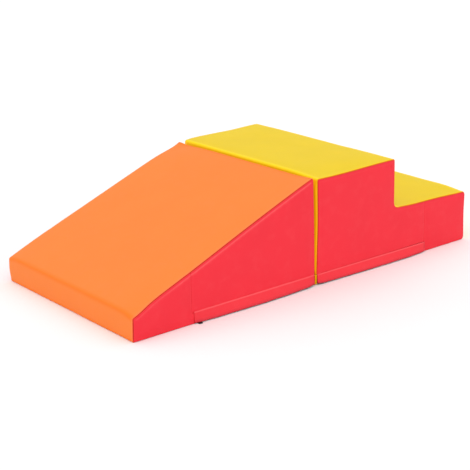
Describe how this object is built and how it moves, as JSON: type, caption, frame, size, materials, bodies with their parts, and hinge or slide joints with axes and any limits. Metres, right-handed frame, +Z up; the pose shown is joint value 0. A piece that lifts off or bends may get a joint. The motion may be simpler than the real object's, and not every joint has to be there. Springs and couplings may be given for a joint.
{
  "type": "soft play foam climber",
  "caption": "Padded toddler climber: an orange slide ramp and a yellow and red step block, foam in sewn covers, with hidden zips under lifting flaps.",
  "frame": {"origin": "on the floor, midway between the two modules' joint faces and midway across the width, at the middle of the whole object's footprint", "axes": "+Z up; +X from the ramp's low nose towards the step block's low end, along the whole length; +Y across the width, away from the side that the picture shows"},
  "size_m": [1.2267, 0.633, 0.3095],
  "materials": {
    "block_base_panel": "anti-slip backed cloth",
    "block_deck_panel": "soft PU leather, sewn",
    "block_foam_core": "cut foam, inside the cover",
    "block_front_end_panel": "soft PU leather, sewn",
    "block_front_flap": "soft PU leather, sewn",
    "block_front_loop_strip": "loop tape",
    "block_front_side_panel": "soft PU leather, sewn",
    "block_joint_flap": "soft PU leather, sewn",
    "block_rear_end_panel": "soft PU leather, sewn",
    "block_rear_flap": "soft PU leather, sewn",
    "block_rear_loop_strip": "loop tape",
    "block_rear_side_panel": "soft PU leather, sewn",
    "block_tread_panel": "soft PU leather, sewn",
    "block_zip_front_lower_teeth": "moulded zip chain",
    "block_zip_front_stop": "pressed metal",
    "block_zip_front_upper_teeth": "moulded zip chain",
    "block_zip_joint_lower_chain": "closed zip chain, plain",
    "block_zip_joint_upper_chain": "closed zip chain, plain",
    "block_zip_lower_tape": "woven tape",
    "block_zip_pull": "soft strap on a wire loop",
    "block_zip_rear_lower_teeth": "moulded zip chain",
    "block_zip_rear_stop": "pressed metal",
    "block_zip_rear_upper_teeth": "moulded zip chain",
    "block_zip_slider": "pressed metal",
    "block_zip_upper_tape": "woven tape",
    "ramp_base_panel": "anti-slip backed cloth",
    "ramp_foam_core": "cut foam, inside the cover",
    "ramp_front_end_panel": "soft PU leather, sewn",
    "ramp_front_flap": "soft PU leather, sewn",
    "ramp_front_hook_strip": "hook tape",
    "ramp_front_side_panel": "soft PU leather, sewn",
    "ramp_joint_flap": "soft PU leather, sewn",
    "ramp_joint_panel": "soft PU leather, sewn",
    "ramp_rear_end_panel": "soft PU leather, sewn",
    "ramp_rear_flap": "soft PU leather, sewn",
    "ramp_rear_hook_strip": "hook tape",
    "ramp_rear_side_panel": "soft PU leather, sewn",
    "ramp_slope_panel": "soft PU leather, sewn",
    "ramp_zip_front_lower_teeth": "moulded zip chain",
    "ramp_zip_front_stop": "pressed metal",
    "ramp_zip_front_upper_teeth": "moulded zip chain",
    "ramp_zip_joint_lower_chain": "closed zip chain, plain",
    "ramp_zip_joint_upper_chain": "closed zip chain, plain",
    "ramp_zip_lower_tape": "woven tape",
    "ramp_zip_pull": "soft strap on a wire loop",
    "ramp_zip_rear_lower_teeth": "moulded zip chain",
    "ramp_zip_rear_stop": "pressed metal",
    "ramp_zip_rear_upper_teeth": "moulded zip chain",
    "ramp_zip_slider": "pressed metal",
    "ramp_zip_upper_tape": "woven tape"
  },
  "bodies": {
    "ramp": {"ramp_base_panel": "ramp_base_panel", "ramp_foam_core": "ramp_foam_core", "ramp_front_end_panel": "ramp_front_end_panel", "ramp_front_hook_strip": "ramp_front_hook_strip", "ramp_front_side_panel": "ramp_front_side_panel", "ramp_joint_flap": "ramp_joint_flap", "ramp_joint_panel": "ramp_joint_panel", "ramp_rear_end_panel": "ramp_rear_end_panel", "ramp_rear_hook_strip": "ramp_rear_hook_strip", "ramp_rear_side_panel": "ramp_rear_side_panel", "ramp_slope_panel": "ramp_slope_panel", "ramp_zip_front_lower_teeth": "ramp_zip_front_lower_teeth", "ramp_zip_front_stop": "ramp_zip_front_stop", "ramp_zip_front_upper_teeth": "ramp_zip_front_upper_teeth", "ramp_zip_joint_lower_chain": "ramp_zip_joint_lower_chain", "ramp_zip_joint_upper_chain": "ramp_zip_joint_upper_chain", "ramp_zip_lower_tape": "ramp_zip_lower_tape", "ramp_zip_rear_lower_teeth": "ramp_zip_rear_lower_teeth", "ramp_zip_rear_stop": "ramp_zip_rear_stop", "ramp_zip_rear_upper_teeth": "ramp_zip_rear_upper_teeth", "ramp_zip_upper_tape": "ramp_zip_upper_tape"},
    "ramp_front_flap": {"ramp_front_flap": "ramp_front_flap"},
    "ramp_rear_flap": {"ramp_rear_flap": "ramp_rear_flap"},
    "ramp_zip_pull": {"ramp_zip_pull": "ramp_zip_pull"},
    "ramp_zip_slider": {"ramp_zip_slider": "ramp_zip_slider"},
    "block": {"block_base_panel": "block_base_panel", "block_deck_panel": "block_deck_panel", "block_foam_core": "block_foam_core", "block_front_end_panel": "block_front_end_panel", "block_front_loop_strip": "block_front_loop_strip", "block_front_side_panel": "block_front_side_panel", "block_joint_flap": "block_joint_flap", "block_rear_end_panel": "block_rear_end_panel", "block_rear_loop_strip": "block_rear_loop_strip", "block_rear_side_panel": "block_rear_side_panel", "block_tread_panel": "block_tread_panel", "block_zip_front_lower_teeth": "block_zip_front_lower_teeth", "block_zip_front_stop": "block_zip_front_stop", "block_zip_front_upper_teeth": "block_zip_front_upper_teeth", "block_zip_joint_lower_chain": "block_zip_joint_lower_chain", "block_zip_joint_upper_chain": "block_zip_joint_upper_chain", "block_zip_lower_tape": "block_zip_lower_tape", "block_zip_rear_lower_teeth": "block_zip_rear_lower_teeth", "block_zip_rear_stop": "block_zip_rear_stop", "block_zip_rear_upper_teeth": "block_zip_rear_upper_teeth", "block_zip_upper_tape": "block_zip_upper_tape"},
    "block_front_flap": {"block_front_flap": "block_front_flap"},
    "block_rear_flap": {"block_rear_flap": "block_rear_flap"},
    "block_zip_pull": {"block_zip_pull": "block_zip_pull"},
    "block_zip_slider": {"block_zip_slider": "block_zip_slider"}
  },
  "joints": [
    {"name": "ramp_separation", "type": "slide", "parent": "block", "child": "ramp", "axis": [-1, 0, 0], "range_m": [0, 0.4]},
    {"name": "ramp_front_flap_lift", "type": "hinge", "parent": "ramp", "child": "ramp_front_flap", "pos_m": [0, -0.3041, 0.02985], "axis": [-1, 0, 0], "range_deg": [0, 110]},
    {"name": "ramp_rear_flap_lift", "type": "hinge", "parent": "ramp", "child": "ramp_rear_flap", "pos_m": [0, 0.3041, 0.02985], "axis": [1, 0, 0], "range_deg": [0, 110]},
    {"name": "block_front_flap_lift", "type": "hinge", "parent": "block", "child": "block_front_flap", "pos_m": [0, -0.3041, 0.02985], "axis": [-1, 0, 0], "range_deg": [0, 110]},
    {"name": "block_rear_flap_lift", "type": "hinge", "parent": "block", "child": "block_rear_flap", "pos_m": [0, 0.3041, 0.02985], "axis": [1, 0, 0], "range_deg": [0, 110]},
    {"name": "ramp_zip_travel", "type": "slide", "parent": "ramp", "child": "ramp_zip_slider", "axis": [1, 0, 0], "range_m": [0, 0.372]},
    {"name": "block_zip_travel", "type": "slide", "parent": "block", "child": "block_zip_slider", "axis": [-1, 0, 0], "range_m": [0, 0.386]},
    {"name": "ramp_pull_swing", "type": "hinge", "parent": "ramp_zip_slider", "child": "ramp_zip_pull", "pos_m": [-0.4071, -0.2978, 0.0135], "axis": [0, 0, 1], "range_deg": [-25, 25]},
    {"name": "block_pull_swing", "type": "hinge", "parent": "block_zip_slider", "child": "block_zip_pull", "pos_m": [0.4211, 0.2978, 0.0135], "axis": [0, 0, 1], "range_deg": [-25, 25]}
  ]
}
